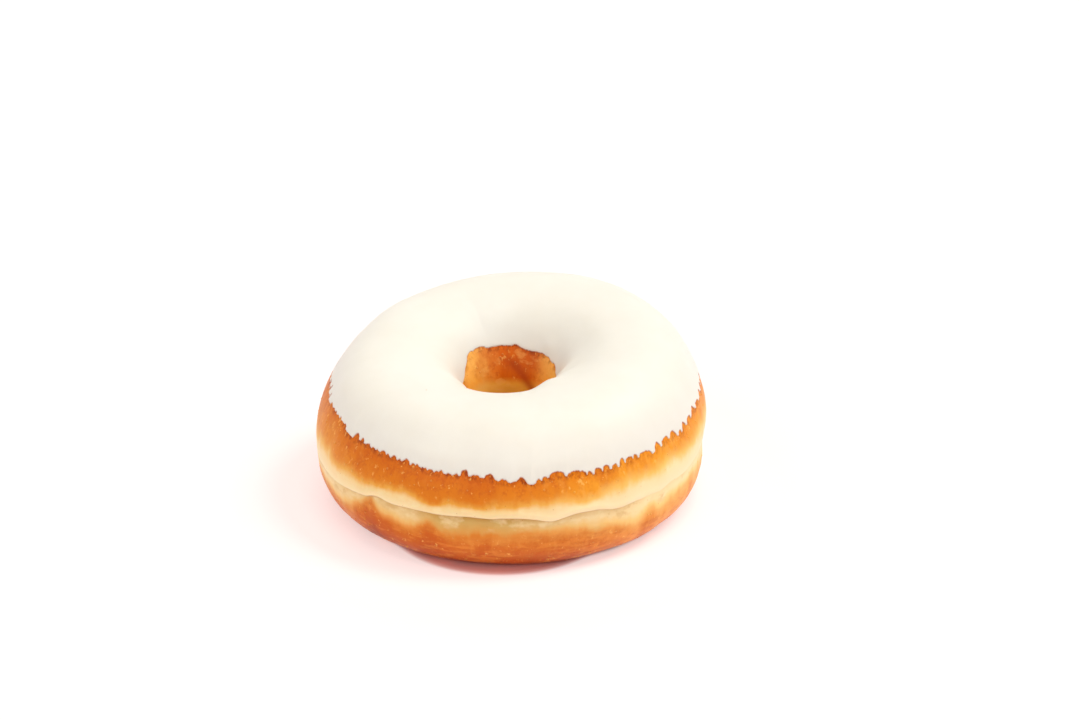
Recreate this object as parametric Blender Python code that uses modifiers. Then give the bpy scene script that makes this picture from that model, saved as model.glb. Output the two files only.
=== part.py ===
"""Ring doughnut: one fried ring of yeast dough under a poured cap of white icing.

Metres, +Z up. The origin is on the surface that the doughnut rests on, under the
middle of its outline. The ring stands on a flat band of its base.
"""

import math

import bmesh
import bpy

MM = 0.001

# Driving dimensions of the risen, fried and iced ring.
OUTER_RADIUS = 45.0 * MM        # widest reach of the dough from the middle
HOLE_RADIUS = 10.5 * MM         # narrowest reach of the hole
CREST_RADIUS = 30.2 * MM        # where the section stands tallest
ICED_HEIGHT = 36.7 * MM         # mean height, icing included
WAIST_HEIGHT = 17.2 * MM        # height at which the ring is widest
BASE_FLAT = 0.9 * MM            # how far the soft base has pressed flat

# The ring rose unevenly: it is taller towards the back and towards the right.
RISE_RIGHT = 0.084
RISE_BACK = 0.129

# How square each quarter of the section is: 2 is an ellipse, more is squarer.
OUTER_TOP_ROUND = 1.76
OUTER_BASE_ROUND = 3.0
INNER_BASE_ROUND = 2.2
INNER_TOP_ROUND = 2.3

# The icing is a thin cap, a hair clear of the crust that it lies on.
ICING_THICKNESS = 0.8 * MM
ICING_GAP = 0.3 * MM
ICING_OUTER_EDGE = 0.72         # share of the outer top quarter that it covers
ICING_INNER_EDGE = 0.66         # share of the inner top quarter that it covers
OUTER_EDGE_WAVES = ((3, 0.020, 0.4), (5, 0.014, 2.1), (11, 0.008, 0.9))
INNER_EDGE_WAVES = ((2, 0.030, 1.2), (5, 0.015, 0.3))

# Fineness of the meshes.
TURN_STEPS = 80
QUARTER_STEPS = 9
ICING_TURN_STEPS = 100
ICING_ROWS = 16

DOUGH_HEIGHT = ICED_HEIGHT - ICING_THICKNESS - ICING_GAP


def section_point(quarter, grow=0.0):
    """Return (radius, height) on the ring's section.

    Quarter runs 0 to 4 from the crest down the outer side, under the base, and up
    the hole's wall to the crest again. Grow is an even step outwards.
    """
    outer_width = OUTER_RADIUS - CREST_RADIUS + grow
    inner_width = CREST_RADIUS - HOLE_RADIUS + grow
    top = DOUGH_HEIGHT - WAIST_HEIGHT + grow
    base = WAIST_HEIGHT + BASE_FLAT + grow
    shapes = (
        (outer_width, top, OUTER_TOP_ROUND),
        (outer_width, -base, OUTER_BASE_ROUND),
        (-inner_width, -base, INNER_BASE_ROUND),
        (-inner_width, top, INNER_TOP_ROUND),
    )
    quarter = quarter % 4.0
    width, rise, roundness = shapes[int(quarter)]
    angle = quarter * math.pi / 2.0
    sideways = abs(math.sin(angle)) ** (2.0 / roundness)
    upwards = abs(math.cos(angle)) ** (2.0 / roundness)
    height = WAIST_HEIGHT + rise * upwards
    return CREST_RADIUS + width * sideways, max(height, 0.0)


def risen(x, y, z):
    """Stretch a point upwards by how much the ring rose at its place."""
    lift = 1.0 + (RISE_RIGHT * x + RISE_BACK * y) / OUTER_RADIUS
    return x, y, z * lift


def waves(turn, rows):
    """Sum of slow waves round the ring: (how many, how deep, where they start)."""
    return sum(depth * math.sin(count * turn + start) for count, depth, start in rows)


def new_collection(name):
    collection = bpy.data.collections.new(name)
    bpy.context.scene.collection.children.link(collection)
    return collection


def new_material(name, color, roughness):
    material = bpy.data.materials.new(name)
    material.use_nodes = True
    shader = material.node_tree.nodes["Principled BSDF"]
    shader.inputs["Base Color"].default_value = (*color, 1.0)
    shader.inputs["Roughness"].default_value = roughness
    shader.inputs["Metallic"].default_value = 0.0
    return material


def new_object(name, mesh, material, collection):
    mesh.materials.append(material)
    piece = bpy.data.objects.new(name, mesh)
    collection.objects.link(piece)
    return piece


def make_dough_ring(collection):
    """The fried dough: its section turned once round, then risen unevenly."""
    count = 4 * QUARTER_STEPS
    profile = bpy.data.meshes.new("dough_section")
    points = [section_point(4.0 * step / count) for step in range(count)]
    edges = [(step, (step + 1) % count) for step in range(count)]
    profile.from_pydata([(radius, 0.0, height) for radius, height in points], edges, [])
    crust = new_material("fried_crust", (0.72, 0.34, 0.09), 0.62)
    turned = new_object("dough_section", profile, crust, collection)

    screw = turned.modifiers.new("turn_once", "SCREW")
    screw.axis = "Z"
    screw.angle = math.tau
    screw.steps = TURN_STEPS
    screw.render_steps = TURN_STEPS
    screw.use_merge_vertices = True
    screw.merge_threshold = 0.00001

    evaluated = turned.evaluated_get(bpy.context.evaluated_depsgraph_get())
    mesh = bpy.data.meshes.new_from_object(evaluated)
    bpy.data.objects.remove(turned)
    bpy.data.meshes.remove(profile)
    for vertex in mesh.vertices:
        vertex.co = risen(*vertex.co)
    mesh.shade_smooth()
    piece = bpy.data.objects.new("dough_ring", mesh)
    collection.objects.link(piece)
    return piece


def make_icing(collection):
    """The poured cap: an open sheet over the top of the ring, made thick outwards."""
    sheet = bmesh.new()
    bmesh.ops.create_grid(sheet, x_segments=ICING_TURN_STEPS, y_segments=ICING_ROWS, size=0.5)
    for vertex in sheet.verts:
        turn = (vertex.co.x + 0.5) * math.tau
        across = vertex.co.y + 0.5
        outer = ICING_OUTER_EDGE + waves(turn, OUTER_EDGE_WAVES)
        inner = ICING_INNER_EDGE + waves(turn, INNER_EDGE_WAVES)
        quarter = outer - across * (outer + inner)
        radius, height = section_point(quarter, ICING_GAP)
        vertex.co = risen(radius * math.cos(turn), radius * math.sin(turn), height)
    bmesh.ops.remove_doubles(sheet, verts=sheet.verts, dist=0.00001)
    bmesh.ops.recalc_face_normals(sheet, faces=sheet.faces)
    if sum(face.normal.z for face in sheet.faces) < 0.0:
        bmesh.ops.reverse_faces(sheet, faces=sheet.faces)
    mesh = bpy.data.meshes.new("icing")
    sheet.to_mesh(mesh)
    sheet.free()
    mesh.shade_smooth()
    glaze = new_material("white_icing", (0.94, 0.92, 0.86), 0.35)
    piece = new_object("icing", mesh, glaze, collection)

    thicken = piece.modifiers.new("poured_thickness", "SOLIDIFY")
    thicken.thickness = ICING_THICKNESS
    thicken.offset = 1.0
    thicken.use_rim = True
    return piece


def centre_on_base(pieces):
    """Move the meshes so that the origin is under the middle of the whole outline."""
    graph = bpy.context.evaluated_depsgraph_get()
    corners = []
    for piece in pieces:
        mesh = bpy.data.meshes.new_from_object(piece.evaluated_get(graph))
        corners += [tuple(vertex.co) for vertex in mesh.vertices]
        bpy.data.meshes.remove(mesh)
    lows = [min(corner[axis] for corner in corners) for axis in range(3)]
    highs = [max(corner[axis] for corner in corners) for axis in range(3)]
    middle = [(low + high) / 2.0 for low, high in zip(lows, highs)]
    for piece in pieces:
        for vertex in piece.data.vertices:
            vertex.co.x -= middle[0]
            vertex.co.y -= middle[1]
    print("outline, mm:", [round((high - low) / MM, 2) for low, high in zip(lows, highs)])


def main():
    for item in list(bpy.data.objects):
        bpy.data.objects.remove(item)
    doughnut = new_collection("ring_doughnut")
    pieces = [make_dough_ring(doughnut), make_icing(doughnut)]
    centre_on_base(pieces)


main()
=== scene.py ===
# %% [markdown]
# # An iced ring doughnut
#
# This notebook dresses a plain measured model of a ring doughnut. The model is the
# frame: it says how big the doughnut is and where every part of it lies. We read the
# form from it, then build a finer dough ring and a finer cap of icing on that form.
# Everything is in metres, with +Z up, and the doughnut stands on the plane z = 0.

# %% Load the measured model
import math

import bpy
import numpy as np
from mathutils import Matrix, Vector
from mathutils.bvhtree import BVHTree
from mathutils.kdtree import KDTree


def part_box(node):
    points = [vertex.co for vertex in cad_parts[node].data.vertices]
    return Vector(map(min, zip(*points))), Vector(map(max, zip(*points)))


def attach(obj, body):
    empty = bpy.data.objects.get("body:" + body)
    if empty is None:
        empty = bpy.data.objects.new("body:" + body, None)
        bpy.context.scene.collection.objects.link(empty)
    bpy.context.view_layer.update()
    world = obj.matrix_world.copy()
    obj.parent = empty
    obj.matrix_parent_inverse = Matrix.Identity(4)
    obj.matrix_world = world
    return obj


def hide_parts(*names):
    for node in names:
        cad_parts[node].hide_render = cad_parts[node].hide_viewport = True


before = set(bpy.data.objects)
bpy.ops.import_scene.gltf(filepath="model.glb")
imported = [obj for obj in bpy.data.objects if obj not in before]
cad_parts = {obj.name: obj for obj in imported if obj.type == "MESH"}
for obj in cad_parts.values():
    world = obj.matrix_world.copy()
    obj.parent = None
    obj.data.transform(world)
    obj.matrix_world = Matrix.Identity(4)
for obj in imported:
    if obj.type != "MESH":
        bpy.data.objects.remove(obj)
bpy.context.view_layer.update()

MM = 0.001

# %% [markdown]
# ## The camera
#
# The doughnut is seen from the front and a little above, through a long lens, so the
# ring hardly tapers with distance. The lens points a little up and to the right of
# the ring, which leaves more white above it and beside it.

# %% Camera
scene = bpy.context.scene
LENS, SENSOR_WIDTH = 85.0, 36.0
NEAREST, FARTHEST = 0.01, 20.0
CAMERA_ELEVATION = math.radians(26.0)
CAMERA_DISTANCE = 588.3 * MM
WAIST = Vector((0.0, 0.0, 18.0 * MM))
AIM_RIGHT = 6.7 * MM
AIM_UP = 12.4 * MM

back = Vector((0.0, -math.cos(CAMERA_ELEVATION), math.sin(CAMERA_ELEVATION)))
up = Vector((0.0, math.sin(CAMERA_ELEVATION), math.cos(CAMERA_ELEVATION)))
camera = bpy.data.objects.new("camera", bpy.data.cameras.new("camera"))
scene.collection.objects.link(camera)
camera.data.lens = LENS
camera.data.sensor_width = SENSOR_WIDTH
camera.location = WAIST + back * CAMERA_DISTANCE
aim = WAIST + Vector((AIM_RIGHT, 0.0, 0.0)) + up * AIM_UP
camera.rotation_euler = (aim - camera.location).to_track_quat("-Z", "Y").to_euler()
camera.data.clip_start = NEAREST
camera.data.clip_end = FARTHEST
scene.camera = camera
print("camera above the table, mm:", round(camera.location.z / MM))

# %% [markdown]
# ## Reading the form
#
# A ring is easiest to describe from its core: the circle that runs through the middle
# of the dough. From each place on that circle we look outwards all round the section
# and measure how far away the surface is. That gives a distance for each pair of
# angles: `turn` round the ring and `tilt` round the section (0 points outwards, 90
# degrees points up, 180 points at the hole).
#
# The model is faceted, and facets would show. Only slow waves of the distance are
# kept, which is what a Fourier series is good at: the facets go and the form stays.

# %% Measure the ring from its core
dough_low, dough_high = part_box("dough_ring")
OUTER_RADIUS = (dough_high.x - dough_low.x) / 2.0
CORE_SHARE = 0.45
CORE_HEIGHT = CORE_SHARE * dough_high.z
graph = bpy.context.evaluated_depsgraph_get()
dough_tree = BVHTree.FromObject(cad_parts["dough_ring"], graph)
HOLE_RADIUS = dough_tree.ray_cast(Vector((0, 0, CORE_HEIGHT)), Vector((1, 0, 0)))[3]
CORE_RADIUS = (OUTER_RADIUS + HOLE_RADIUS) / 2.0
TURN_SAMPLES, TILT_SAMPLES = 96, 160
TURN_WAVES, TILT_WAVES = 4, 16


def read_reach(tree):
    """Measure the distance from the core circle to the surface, for all angles."""
    reach = np.zeros((TURN_SAMPLES, TILT_SAMPLES))
    for i in range(TURN_SAMPLES):
        turn = math.tau * i / TURN_SAMPLES
        outwards = Vector((math.cos(turn), math.sin(turn), 0.0))
        core = outwards * CORE_RADIUS + Vector((0, 0, CORE_HEIGHT))
        for j in range(TILT_SAMPLES):
            tilt = math.tau * j / TILT_SAMPLES
            ray = outwards * math.cos(tilt) + Vector((0, 0, math.sin(tilt)))
            reach[i, j] = tree.ray_cast(core, ray)[3]
    return reach


waves = np.fft.fft2(read_reach(dough_tree)) / (TURN_SAMPLES * TILT_SAMPLES)
TURN_ORDERS = np.arange(-TURN_WAVES, TURN_WAVES + 1)
TILT_ORDERS = np.arange(-TILT_WAVES, TILT_WAVES + 1)
waves = waves[np.ix_(TURN_ORDERS, TILT_ORDERS)]
print("hole radius, mm:", round(HOLE_RADIUS / MM, 2))
print("core radius and height, mm:", round(CORE_RADIUS / MM, 2), round(CORE_HEIGHT / MM, 2))


# %% From angles to places
def reach_at(turn, tilt):
    """Smooth distance from the core, for a column of turns and a grid of tilts."""
    by_turn = np.exp(1j * np.outer(turn, TURN_ORDERS)) @ waves
    total = np.zeros(tilt.shape)
    for k, order in enumerate(TILT_ORDERS):
        total += (by_turn[:, k:k + 1] * np.exp(1j * order * tilt)).real
    return total


def place(turn, tilt):
    """Points on the smooth ring, for a column of turns and a grid of tilts."""
    reach = reach_at(turn, tilt)
    radius = CORE_RADIUS + reach * np.cos(tilt)
    height = np.maximum(CORE_HEIGHT + reach * np.sin(tilt), 0.0)
    column = turn[:, None]
    return np.stack([radius * np.cos(column), radius * np.sin(column), height], axis=2)


right_side = place(np.zeros(1), np.zeros((1, 1)))[0, 0]
print("right side of the ring, mm:", [round(float(side) / MM, 2) for side in right_side])


# %% Which way a grid faces
def grid_normals(points):
    """Outward normals of a grid that closes round the ring (first index)."""
    along = np.roll(points, -1, axis=0) - np.roll(points, 1, axis=0)
    across = np.gradient(points, axis=1)
    normals = np.cross(along, across)
    return normals / np.maximum(np.linalg.norm(normals, axis=2, keepdims=True), 1e-12)


# %% [markdown]
# ## Lines that run round the ring
#
# Four lines make the outside of this doughnut: the ragged edge of the icing, the top
# and the bottom of the pale proof line, and the crease in it. The pale band is dough
# that sat above the fat while each side fried, so it never browned. The hole has two
# more, the icing's inner edge and its own pale line. None of them is level, so each
# is a list of heights (in millimetres) at some angles, with a smooth curve through
# them. The right of the ring is at 0 degrees, the back at 90 and the front at -90.

# %% Smooth closed curves through a few heights
def round_curve(knots, turn):
    """Read a closed curve through (degrees, value) knots at the given angles."""
    degrees = np.array([knot[0] for knot in knots], float)
    values = np.array([knot[1] for knot in knots], float)
    angle = (np.degrees(turn) - degrees[0]) % 360.0 + degrees[0]
    degrees = np.concatenate([degrees[-2:] - 360.0, degrees, degrees[:3] + 360.0])
    values = np.concatenate([values[-2:], values, values[:3]])
    slopes = np.gradient(values, degrees)
    k = np.clip(np.searchsorted(degrees, angle, side="right") - 1, 0, len(degrees) - 2)
    step = degrees[k + 1] - degrees[k]
    t = (angle - degrees[k]) / step
    rise = (2 * t**3 - 3 * t**2 + 1) * values[k] + (3 * t**2 - 2 * t**3) * values[k + 1]
    bend = (t**3 - 2 * t**2 + t) * slopes[k] + (t**3 - t**2) * slopes[k + 1]
    return rise + bend * step


# %% The lines, as (degrees, height in mm)
PROOF_TOP = ((-180, 16.4), (-172, 16.4), (-165, 17.4), (-157, 17.9), (-152, 16.6), (-145, 16.7),
             (-140, 16.3), (-130, 17.2), (-120, 17.5), (-112, 16.6), (-108.5, 17.4), (-102, 16.8),
             (-90, 17.4), (-76, 18.0), (-69, 17.3), (-62, 18.2), (-55, 19.1), (-40, 19.5),
             (-25, 20.0), (-12, 20.6), (20, 20.4), (60, 18.8), (100, 18.4), (140, 17.0))
CREASE = ((-180, 12.2), (-152, 12.2), (-140, 13.1), (-136, 13.7), (-131, 14.8), (-127, 14.4),
          (-118, 14.3), (-108, 14.7), (-96, 14.8), (-85, 14.8), (-79, 13.7), (-72, 14.8),
          (-66, 14.9), (-59, 13.9), (-50, 14.0), (-30, 14.4), (20, 14.6), (60, 14.0),
          (100, 14.8), (140, 13.4))
PROOF_BASE = ((-180, 9.4), (-160, 9.8), (-152, 9.0), (-146, 8.9), (-141.5, 10.0), (-138, 11.6),
              (-134, 13.4), (-132, 12.4), (-130, 10.8), (-126, 10.6), (-119, 10.3), (-116, 11.6),
              (-113.5, 12.2), (-111, 10.8), (-100, 10.4), (-90, 10.7), (-80, 11.2), (-68, 11.0),
              (-60, 10.2), (-55, 9.1), (-50.5, 8.5), (-48.0, 10.4), (-45.5, 10.8), (-43.0, 9.4),
              (-38, 10.0), (-30, 11.1), (-20, 11.7), (-10, 11.2), (20, 10.2), (60, 10.4),
              (100, 10.8), (140, 9.6))
ICING_EDGE = ((-180, 25.4), (-174, 25.0), (-170, 24.7), (-163, 24.9), (-155, 24.6), (-149, 23.5),
              (-142, 23.8), (-133, 23.5), (-123, 23.4), (-112, 22.9), (-104, 23.1), (-98, 23.0),
              (-91, 22.4), (-87.5, 22.6), (-84, 22.0), (-81, 22.7), (-74, 23.0), (-67, 22.7),
              (-60, 22.8), (-54, 23.3), (-49, 23.5), (-44, 23.1), (-36, 24.2), (-32, 23.8),
              (-26, 24.3), (-19, 25.2), (-8, 25.8), (25, 26.2), (48, 27.2), (66, 26.2),
              (90, 27.4), (112, 26.4), (135, 27.0), (160, 25.8))
HOLE_EDGE = ((-90, 23.6), (-45, 24.0), (0, 23.8), (22, 24.6), (34, 26.6), (50, 27.7), (70, 28.5),
             (91, 29.1), (111, 28.9), (126, 28.9), (134, 28.5), (143, 27.2), (152, 25.6),
             (162, 24.4), (180, 24.0))
HOLE_PROOF = ((-90, 18.6), (0, 19.0), (60, 19.6), (90, 19.5), (120, 19.8), (180, 19.0))
print("knots in the crease and in the icing's edge:", len(CREASE), len(ICING_EDGE))


# %% Small chance waves, and the tilt that lies at a height
def wobble(rng, turn, sizes):
    """A small random closed curve: (number of knots, typical height) for each size."""
    total = np.zeros(turn.shape)
    for knots, height in sizes:
        values = rng.normal(0.0, height, knots)
        spots = turn / math.tau * knots
        k = np.floor(spots).astype(int)
        t = spots - k
        t = t * t * (3.0 - 2.0 * t)
        total += values[k % knots] * (1.0 - t) + values[(k + 1) % knots] * t
    return total


TILT_ROUNDS = 12


def tilt_at_height(turn, height, side):
    """Tilt at which the ring has a height, on its outer side (1) or hole side (-1)."""
    base = 0.0 if side > 0 else math.pi
    tilt = np.full(turn.shape, base)
    for _ in range(TILT_ROUNDS):
        reach = reach_at(turn, tilt[:, None])[:, 0]
        lean = np.arcsin(np.clip((height - CORE_HEIGHT) / reach, -0.999, 0.999))
        tilt = base + side * lean
    return tilt


front = np.radians(np.array([-90.0]))
for name, knots in (("icing edge", ICING_EDGE), ("crease", CREASE), ("proof base", PROOF_BASE)):
    front_tilt = tilt_at_height(front, round_curve(knots, front) * MM, 1)
    print(name, "at the front, tilt in degrees:", round(float(np.degrees(front_tilt[0])), 1))

# %% [markdown]
# ## The dough ring
#
# The dough is one closed skin on a grid: columns run round the ring and rows run round
# the section. Rows are packed closely at the crease, where the surface folds, and
# widely where the icing or the table hides them. The row at the crease follows it, so
# the fold comes out sharp. A grid made by numpy keeps this under control better than
# sculpting, and every vertex knows how far it is from the crease.

# %% Rows and columns of the dough
DOUGH_COLUMNS = 420
DOUGH_ROWS = 232
DOUGH_SEED = 21
# How densely the rows lie: everywhere, and how much more near the crease, on the side
# and in the hole, each with its half width.
PLAIN_ROWS = 0.45
CREASE_ROWS, CREASE_REACH = 4.2, math.radians(6.0)
SIDE_ROWS, SIDE_REACH = 0.9, math.radians(38.0)
HOLE_ROWS, HOLE_REACH = 0.5, math.radians(45.0)
FOLLOW_REACH = math.radians(40.0)
CREASE_WOBBLE = ((60, 0.10), (170, 0.05))
spread = np.radians(np.arange(-180.0, 180.0, 10.0))
CREASE_TILT = float(np.mean(tilt_at_height(spread, round_curve(CREASE, spread) * MM, 1)))


def row_tilts():
    """Tilts of the rows: close together at the crease, wider where nothing shows."""
    fine = np.linspace(-math.pi, math.pi, 4001)
    offset = fine - CREASE_TILT
    density = PLAIN_ROWS + CREASE_ROWS * np.exp(-(offset / CREASE_REACH) ** 2)
    density += SIDE_ROWS * np.exp(-(offset / SIDE_REACH) ** 4)
    density += HOLE_ROWS * np.exp(-((np.abs(fine) - math.pi) / HOLE_REACH) ** 2)
    total = np.concatenate([[0.0], np.cumsum((density[1:] + density[:-1]) / 2.0)])
    places = np.arange(DOUGH_ROWS) / DOUGH_ROWS * total[-1]
    tilts = np.interp(places, total, fine)
    nearest = int(np.argmin(np.abs(tilts - CREASE_TILT)))
    return tilts + (CREASE_TILT - tilts[nearest]), nearest


rows, crease_row = row_tilts()
turns = math.tau * np.arange(DOUGH_COLUMNS) / DOUGH_COLUMNS
dough_chance = np.random.default_rng(DOUGH_SEED)
crease_height = round_curve(CREASE, turns) + wobble(dough_chance, turns, CREASE_WOBBLE)
crease_tilts = tilt_at_height(turns, crease_height * MM, 1)
follow = np.exp(-((rows - CREASE_TILT) / FOLLOW_REACH) ** 2)
tilts = rows[None, :] + (crease_tilts - CREASE_TILT)[:, None] * follow[None, :]
dough_points = place(turns, tilts)
dough_normals = grid_normals(dough_points)
print("dough grid:", DOUGH_COLUMNS, "columns by", DOUGH_ROWS, "rows")


# %% How far each vertex is from the crease
def section_lengths(points, start):
    """Length along each section from a row, growing with the row number."""
    steps = np.linalg.norm(np.diff(points, axis=1), axis=2)
    length = np.concatenate([np.zeros((len(points), 1)), np.cumsum(steps, axis=1)], axis=1)
    return length - length[:, start:start + 1]


def smooth_step(low, high, value):
    """0 below low, 1 above high, and a soft S between them."""
    t = np.clip((value - low) / (high - low), 0.0, 1.0)
    return t * t * (3.0 - 2.0 * t)


below_crease = -section_lengths(dough_points, crease_row) / MM
outside = np.cos(tilts) > 0.0
height_mm = dough_points[:, :, 2] / MM
print("crease to the bottom row, mm:", round(float(below_crease.max()), 1))

# %% [markdown]
# The finish needs to know where it is between those lines, so every vertex carries a
# number called `belt`: -1 at the top of the pale band, 0 at the crease and 1 at the
# band's bottom. Beyond the band it goes on by one for every few millimetres of crust.
# In the hole it is measured from the hole's own pale line.

# %% The belt value
THINNEST_PROOF = 0.8
CRUST_SCALE = 4.5
HOLE_PROOF_HALF = 1.7
FAR = 6.0
HOLE_SIDE = (0.1, -0.5)
proof_above = (round_curve(PROOF_TOP, turns) - crease_height)[:, None]
proof_below = crease_height - round_curve(PROOF_BASE, turns)
proof_below = np.maximum(proof_below, THINNEST_PROOF)[:, None]
belt_above = np.maximum(below_crease / proof_above, -1.0)
belt_above += np.minimum(below_crease + proof_above, 0.0) / CRUST_SCALE
belt_below = np.minimum(below_crease / proof_below, 1.0)
belt_below += np.maximum(below_crease - proof_below, 0.0) / CRUST_SCALE
belt_outside = np.where(below_crease < 0.0, belt_above, belt_below)
belt_inside = (round_curve(HOLE_PROOF, turns)[:, None] - height_mm) / HOLE_PROOF_HALF
belt = np.clip(np.where(outside, belt_outside, belt_inside), -FAR, FAR)
inside_hole = smooth_step(*HOLE_SIDE, np.cos(tilts))
print("belt runs from", round(belt.min(), 1), "to", round(belt.max(), 1))

# %% [markdown]
# The fat wasn't equally hot all round, so some sides are brown and others are golden.
# `golden` says which, from 0 (brown) to 1 (golden), separately for the upper crust,
# the band, the base and the hole.

# %% Brown and golden sides
GOLDEN = ((-180, 0.55), (-160, 0.45), (-145, 0.15), (-120, 0.0), (-95, 0.0), (-84, 0.2),
          (-74, 0.6), (-50, 0.8), (-15, 0.7), (15, 0.6), (60, 0.3), (110, 0.1), (150, 0.3))
CREAMY = ((-180, 0.7), (-150, 0.75), (-140, 0.5), (-128, 0.5), (-119, 0.45), (-112, 0.05),
          (-95, 0.0), (-86, 0.15), (-76, 0.5), (-56, 0.85), (-15, 1.0), (30, 0.6), (75, 0.2),
          (120, 0.5))
BASE_GOLD = ((-180, 0.4), (-150, 0.2), (-130, -0.1), (-100, 0.15), (-75, 0.25), (-55, 0.55),
             (-40, 0.95), (-15, 1.1), (20, 0.6), (90, 0.1), (140, 0.2))
HOLE_GOLD = ((-180, 0.9), (-90, 0.3), (-10, 0.9), (25, 1.0), (40, 0.95), (52, 0.6), (62, 0.1),
             (74, -0.2), (92, -0.1), (112, 0.2), (128, 0.8), (155, 1.0))
BASE_FROM = (0.95, 1.4)
gold_above = round_curve(GOLDEN, turns)[:, None]
gold_band = round_curve(CREAMY, turns)[:, None]
on_base = smooth_step(*BASE_FROM, belt)
gold_below = gold_band + (round_curve(BASE_GOLD, turns)[:, None] - gold_band) * on_base
golden = np.where(belt < 0.0, gold_above, gold_below)
golden = np.where(outside, golden, round_curve(HOLE_GOLD, turns)[:, None])
print("mean of golden on the outside:", round(float(golden[outside].mean()), 2))

# %% [markdown]
# The crease is where the upper half of the dough rolled over the lower half as it
# puffed up. It needs a lip above, which bulges and droops, and a step in below it that
# fades out over a few millimetres. Its strength varies round the ring: strong across
# the left of the front, nearly gone on the right.

# %% Fold the crease
FOLD = ((-180, 0.1), (-150, 0.1), (-140, 0.7), (-132, 1.2), (-120, 0.8), (-105, 1.0), (-84, 0.9),
        (-66, 0.8), (-57, 0.5), (-46, 0.12), (-20, 0.05), (20, 0.5), (60, 0.9), (95, 0.5),
        (130, 0.9))
FOLD_WOBBLE = ((40, 0.18), (120, 0.10))
WAIST_IN = ((-180, 0.10), (-90, 0.15), (-40, 0.35), (0, 0.75), (45, 0.4), (90, 0.2), (135, 0.2))
# Heights and depths in mm, each with its place below the crease and its half width.
LIP_HEIGHT, LIP_AT, LIP_HALF = 0.26, -0.75, 0.75
LIP_DROOP, DROOP_AT, DROOP_HALF = 0.20, -0.2, 0.4
WAIST_AT, WAIST_HALF = 1.0, 4.0
STEP_DEPTH, STEP_TOP, STEP_BOTTOM = 0.44, -0.05, 0.28
FADE_FROM, FADE_LENGTH = 0.3, 2.2


def hump(value, middle, half):
    """A bell: 1 at the middle, and 0.37 at half a width from it."""
    return np.exp(-((value - middle) / half) ** 2)


fold = round_curve(FOLD, turns) * (1.0 + wobble(dough_chance, turns, FOLD_WOBBLE))
fold = fold[:, None]
lip = LIP_HEIGHT * hump(below_crease, LIP_AT, LIP_HALF)
step_in = STEP_DEPTH * smooth_step(STEP_TOP, STEP_BOTTOM, below_crease)
step_in = step_in * np.exp(-np.maximum(below_crease - FADE_FROM, 0.0) / FADE_LENGTH)
droop = LIP_DROOP * hump(below_crease, DROOP_AT, DROOP_HALF)
waist = round_curve(WAIST_IN, turns)[:, None] * hump(below_crease, WAIST_AT, WAIST_HALF)
bulge = np.where(outside, fold * (lip - step_in) - waist, 0.0)
slide = np.where(outside, fold * droop, 0.0)
print("lip and step, mm:", round(float(bulge.max()), 2), round(float(bulge.min()), 2))

along_section = -np.gradient(dough_points, axis=1)
along_section /= np.maximum(np.linalg.norm(along_section, axis=2, keepdims=True), 1e-12)
dough_points = dough_points + dough_normals * (bulge * MM)[:, :, None]
dough_points = dough_points + along_section * (slide * MM)[:, :, None]

# %% Sink the crust a little under the icing
UNDER_ICING = 0.15
SINK_FROM, SINK_TO = 1.6, 3.2
icing_edge_mm = round_curve(ICING_EDGE, turns)[:, None]
hole_edge_mm = round_curve(HOLE_EDGE, turns)[:, None]
under = np.where(outside, height_mm - icing_edge_mm, height_mm - hole_edge_mm)
sunk = UNDER_ICING * smooth_step(SINK_FROM, SINK_TO, under)
dough_points = dough_points - dough_normals * (sunk * MM)[:, :, None]
dough_points[:, :, 2] = np.maximum(dough_points[:, :, 2], 0.0)
print("dough reaches up to, mm:", round(float(dough_points[:, :, 2].max()) / MM, 1))


# %% A grid that closes both ways becomes a mesh
def closed_grid_mesh(name, points, attributes):
    """Make one closed mesh from a grid that wraps round in both directions."""
    columns, rows_around = points.shape[:2]
    i, j = np.meshgrid(np.arange(columns), np.arange(rows_around), indexing="ij")
    next_i, next_j = (i + 1) % columns, (j + 1) % rows_around
    corners = [i * rows_around + j, next_i * rows_around + j,
               next_i * rows_around + next_j, i * rows_around + next_j]
    quads = np.stack(corners, axis=2).reshape(-1, 4)
    mesh = bpy.data.meshes.new(name)
    mesh.from_pydata(points.reshape(-1, 3).tolist(), [], quads.tolist())
    for label, values in attributes.items():
        layer = mesh.attributes.new(label, "FLOAT", "POINT")
        layer.data.foreach_set("value", values.reshape(-1).astype(np.float32))
    across = np.stack([j, j, j + 1, j + 1], axis=2) / rows_around
    around = np.stack([i, i + 1, i + 1, i], axis=2) / columns
    flat = np.stack([around, across], axis=3).reshape(-1)
    unwrap = mesh.uv_layers.new(name="OFBake")
    unwrap.data.foreach_set("uv", flat.astype(np.float32))
    mesh.shade_smooth()
    mesh.update()
    return mesh


# %% [markdown]
# The mesh also carries the numbers that the finish reads: how bare the dough is of icing, where it
# may wrinkle or blister, how near the icing's edge is, where the dark line of painted shade under
# the lip of the crease lies, and a dark stripe that slants down the rear wall of the hole.
# They are made here, from the same lines, so that finish and form always agree.

# %% The numbers that the finish reads
SCAR_TURN, SCAR_HALF = 83.0, 8.0
SCAR_HEIGHT, SCAR_SLANT = 24.5, 4.5
SCAR_TOP, SCAR_FULL = 27.6, 25.0
CREASE_LINE_AT, CREASE_LINE_HALF = 0.10, 0.24
CREASE_LINE_FROM = 0.3
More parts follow.
